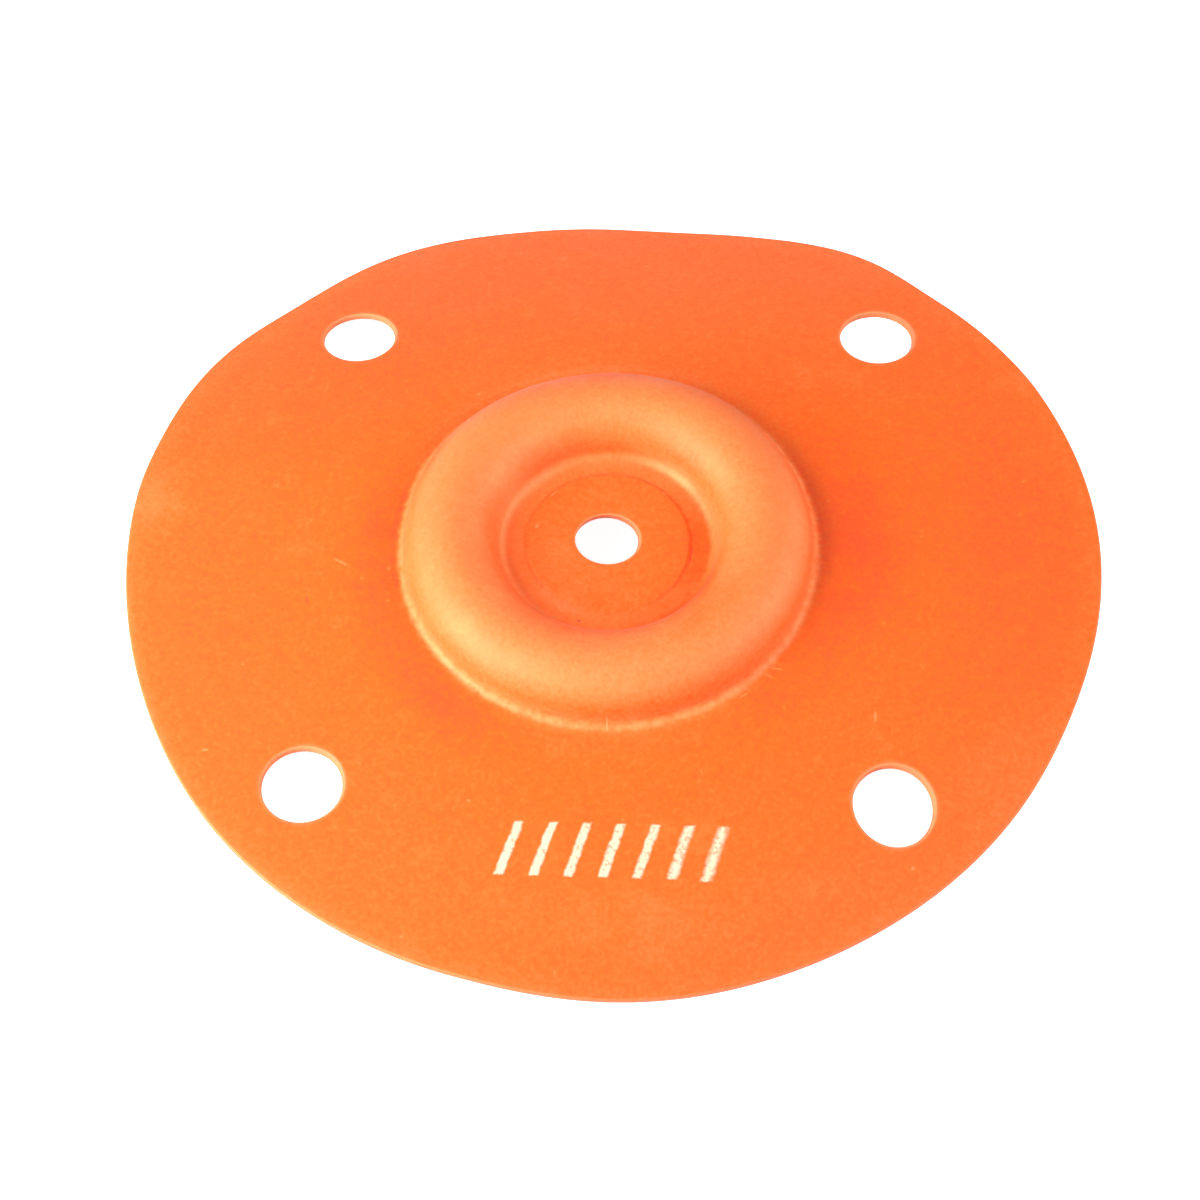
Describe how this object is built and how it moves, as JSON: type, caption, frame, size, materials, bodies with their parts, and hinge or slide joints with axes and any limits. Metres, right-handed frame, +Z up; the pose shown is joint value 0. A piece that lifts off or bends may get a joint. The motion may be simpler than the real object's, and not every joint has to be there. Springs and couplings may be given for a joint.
{
  "type": "fuel system diaphragm",
  "caption": "Moulded round diaphragm of rubber-coated cloth, with a half-round convolution, a thicker centre pad with a rod hole, and a flat flange with bolt holes.",
  "frame": {"origin": "centre of the resting part's box in plan, on the surface that it lies on", "axes": "+Z up, out of the convolution's crest side, about 4.7 degrees off the diaphragm's own axis because the bent flange lies as it comes to rest; the bolt hole square's sides run along X and Y, with the drooping rear of the flange towards +Y"},
  "size_m": [0.0736, 0.0722, 0.0095],
  "materials": {
    "rubber": "semi-matt orange coating over fine cloth"
  },
  "bodies": {
    "root": {"diaphragm": "rubber"}
  },
  "joints": []
}
